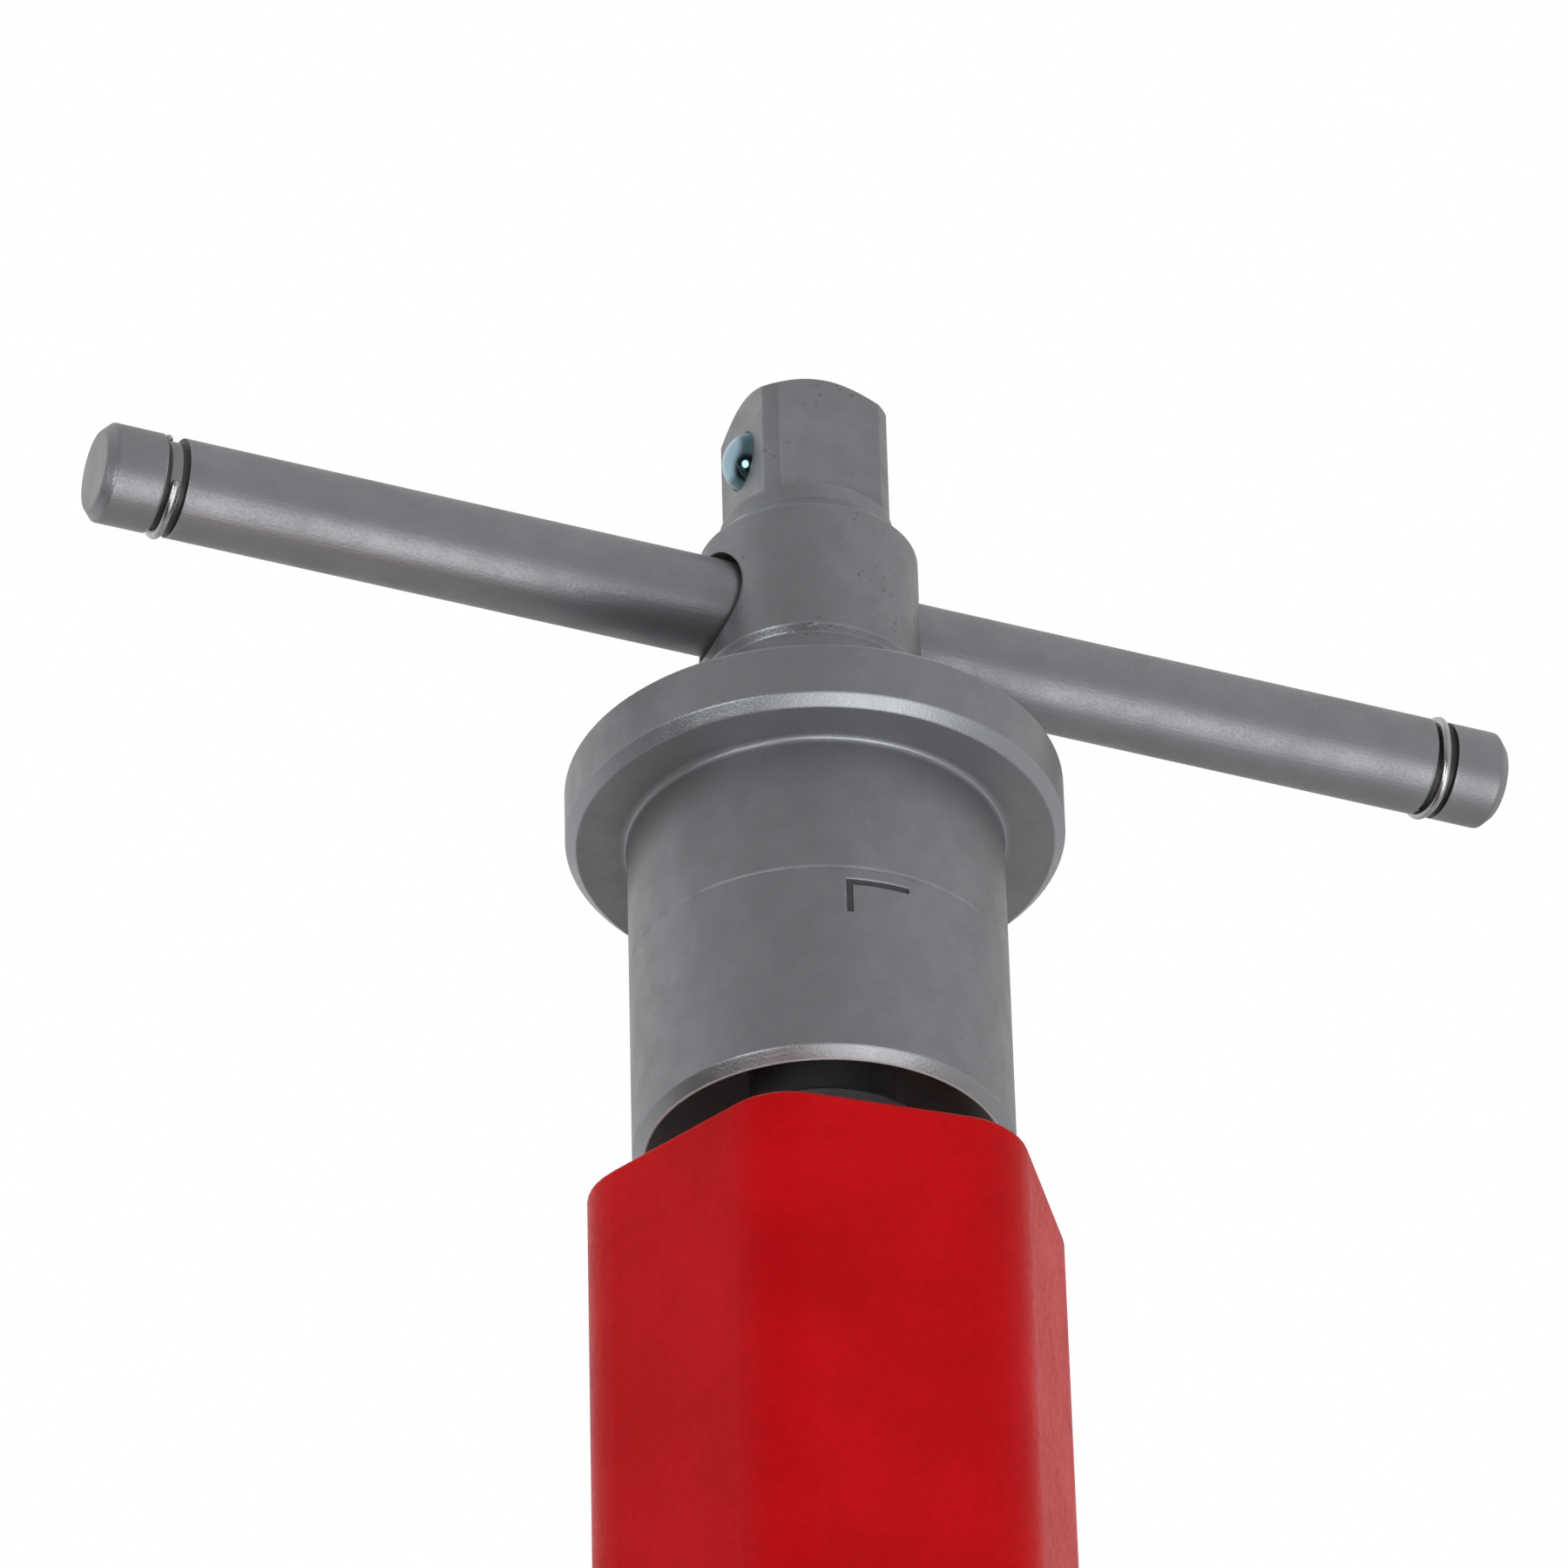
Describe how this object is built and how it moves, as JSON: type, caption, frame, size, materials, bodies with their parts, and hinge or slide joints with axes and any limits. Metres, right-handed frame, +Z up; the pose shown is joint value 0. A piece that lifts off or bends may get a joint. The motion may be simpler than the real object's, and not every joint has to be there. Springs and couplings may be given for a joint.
{
  "type": "turn-and-drive post driver",
  "caption": "Hand-held post driver: red hexagonal tube over the post, turning slide-hammer head with guard skirt, sliding T-bar and square drive tang.",
  "frame": {"origin": "centre of the open mouth at the tool's foot, on the tube's axis", "axes": "+Z up the tube's axis from the mouth to the square tang; X along the T-bar; the ball detent faces -X"},
  "size_m": [0.211, 0.069, 0.5361],
  "materials": {
    "satin_steel": "grey phosphated and oiled steel, satin, turned marks faint",
    "bar_steel": "grey drawn steel bar, satin, a little brighter",
    "red_coat": "semi-gloss red powder coat on steel",
    "black_oxide": "black oxide on ground steel",
    "tool_steel": "hardened tool steel, oil-blackened",
    "gland_steel": "turned steel, bright",
    "zinc_plate": "bright zinc plate with a blue cast",
    "spring_wire": "bright drawn spring wire",
    "ball_steel": "polished bearing ball",
    "bronze": "sintered bronze",
    "rubber": "black nitrile rubber"
  },
  "bodies": {
    "root": {"hex_tube": "red_coat", "mouth_ring": "zinc_plate", "mouth_screws": "zinc_plate", "strike_plate": "tool_steel", "lower_bush": "bronze", "bush_spacer": "tool_steel", "upper_bush": "bronze", "chamber_sleeve": "tool_steel", "gland_plug": "gland_steel", "gland_bush": "bronze", "wiper_seal": "rubber", "gland_ring": "rubber", "stop_bumper": "rubber", "gland_clip": "spring_wire", "grease_nipple": "zinc_plate"},
    "anvil": {"rotating_anvil": "tool_steel", "drive_dog": "tool_steel", "dog_screw": "zinc_plate"},
    "head": {"plunger_shaft": "black_oxide", "ram_collar": "tool_steel", "ram_pin": "tool_steel", "flanged_skirt": "satin_steel", "skirt_washer": "zinc_plate", "skirt_nut": "zinc_plate", "skirt_dowels": "tool_steel", "drive_head": "satin_steel", "head_pin": "tool_steel", "detent_spring": "spring_wire"},
    "ball": {"detent_ball": "ball_steel"},
    "tbar": {"tommy_bar": "bar_steel", "left_snap_ring": "spring_wire", "right_snap_ring": "spring_wire"}
  },
  "joints": [
    {"name": "head_spin", "type": "hinge", "parent": "root", "child": "anvil", "pos_m": [0, 0, 0.2], "axis": [0, 0, 1], "continuous": true},
    {"name": "head_lift", "type": "slide", "parent": "anvil", "child": "head", "axis": [0, 0, 1], "range_m": [0, 0.075]},
    {"name": "bar_slide", "type": "slide", "parent": "head", "child": "tbar", "axis": [1, 0, 0], "range_m": [-0.085, 0.085]},
    {"name": "detent_press", "type": "slide", "parent": "head", "child": "ball", "axis": [1, 0, 0], "range_m": [0, 0.0022], "stiffness_N_per_m": 600, "springref_m": -0.002, "deforming": ["detent_spring"]}
  ]
}
